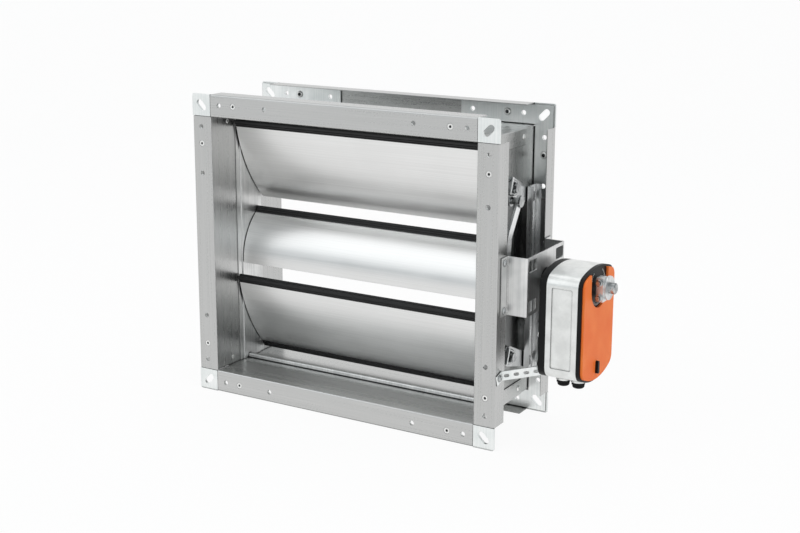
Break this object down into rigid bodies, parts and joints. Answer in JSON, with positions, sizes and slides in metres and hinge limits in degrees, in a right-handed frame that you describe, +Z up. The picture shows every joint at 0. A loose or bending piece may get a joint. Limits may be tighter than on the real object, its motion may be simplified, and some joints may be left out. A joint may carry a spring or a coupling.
{
  "type": "air damper",
  "caption": "Rectangular opposed-blade air damper for a ventilation duct: flanged sheet casing, rubber-sealed blades on cranks and links, and a rotary actuator on its drive shaft.",
  "frame": {"origin": "centre of the duct opening in the plane of the front flange", "axes": "+X to the right along the blade axles towards the actuator, +Y down the duct from the front flange to the back flange, +Z up"},
  "size_m": [0.581, 0.16, 0.415],
  "materials": {
    "zinc_sheet": "galvanized sheet steel, satin with a faint spangle",
    "bright_zinc": "bright zinc-plated steel, smooth",
    "blade_metal": "extruded aluminium, satin",
    "steel": "turned steel",
    "rubber": "matte black extruded rubber",
    "black_plastic": "black moulded plastic",
    "housing_metal": "die-cast aluminium, fine satin",
    "orange_plastic": "orange moulded plastic, soft gloss"
  },
  "bodies": {
    "casing": {"top_panel": "zinc_sheet", "bottom_panel": "zinc_sheet", "left_panel": "zinc_sheet", "right_panel": "zinc_sheet", "front_top_left_corner": "bright_zinc", "front_top_right_corner": "bright_zinc", "front_bottom_left_corner": "bright_zinc", "front_bottom_right_corner": "bright_zinc", "back_top_left_corner": "bright_zinc", "back_top_right_corner": "bright_zinc", "back_bottom_left_corner": "bright_zinc", "back_bottom_right_corner": "bright_zinc", "front_rivets": "steel", "back_rivets": "steel", "seam_rivets": "steel", "top_stop": "bright_zinc", "bottom_stop": "bright_zinc", "left_side_seal": "bright_zinc", "right_side_seal": "bright_zinc", "left_top_bush": "black_plastic", "left_middle_bush": "black_plastic", "left_bottom_bush": "black_plastic", "right_top_bush": "black_plastic", "right_middle_bush": "black_plastic", "right_bottom_bush": "black_plastic", "actuator_bracket": "bright_zinc", "bracket_screws": "steel", "shaft_bush": "black_plastic", "actuator_base": "black_plastic", "actuator_housing": "housing_metal", "front_plate": "black_plastic", "actuator_cover": "orange_plastic", "cable_glands": "black_plastic", "perforated_strap": "bright_zinc", "strap_screws": "steel"},
    "drive": {"middle_blade": "blade_metal", "middle_blade_seal": "rubber", "drive_shaft": "steel", "drive_crank": "bright_zinc", "cross_pin_drive": "steel", "drive_hub": "steel", "shaft_clamp": "steel", "clamp_bolt": "steel", "clamp_nuts": "steel"},
    "upper_blade": {"top_blade": "blade_metal", "top_blade_seal": "rubber", "top_axle": "steel", "top_crank": "bright_zinc", "top_crank_clamp": "steel", "bar_pin_top": "steel", "cross_pin_top": "steel"},
    "lower_blade": {"bottom_blade": "blade_metal", "bottom_blade_seals": "rubber", "bottom_axle": "steel", "bottom_crank": "bright_zinc", "bottom_crank_clamp": "steel", "bar_pin_bottom": "steel"},
    "link_bar": {"link_bar": "bright_zinc"},
    "cross_link": {"cross_link": "bright_zinc"},
    "release_button": {"release_button": "black_plastic"}
  },
  "joints": [
    {"name": "drive_turn", "type": "hinge", "parent": "casing", "child": "drive", "pos_m": [0, 0.08, 0], "axis": [-1, 0, 0], "range_deg": [-27, 63]},
    {"name": "upper_blade_turn", "type": "hinge", "parent": "casing", "child": "upper_blade", "pos_m": [0, 0.08, 0.11], "axis": [1, 0, 0], "range_deg": [-27, 63]},
    {"name": "lower_blade_turn", "type": "hinge", "parent": "casing", "child": "lower_blade", "pos_m": [0, 0.08, -0.11], "axis": [1, 0, 0], "range_deg": [-27, 63]},
    {"name": "link_bar_pivot", "type": "hinge", "parent": "upper_blade", "child": "link_bar", "pos_m": [0.2115, 0.13262, 0.09085], "axis": [-1, 0, 0], "range_deg": [-27, 63]},
    {"name": "cross_link_pivot", "type": "hinge", "parent": "upper_blade", "child": "cross_link", "pos_m": [0.2195, 0.07861, 0.09406], "axis": [-1, 0, 0], "range_deg": [-35.5, 82]},
    {"name": "button_press", "type": "slide", "parent": "casing", "child": "release_button", "axis": [-1, 0, 0], "range_m": [0, 0.0025], "stiffness_N_per_m": 400}
  ],
  "couplings": [
    {"joint": "upper_blade_turn", "follows": "drive_turn", "ratio": 1},
    {"joint": "lower_blade_turn", "follows": "drive_turn", "ratio": 1},
    {"joint": "link_bar_pivot", "follows": "drive_turn", "ratio": 1},
    {"joint": "cross_link_pivot", "follows": "drive_turn", "ratio": 1.296}
  ]
}
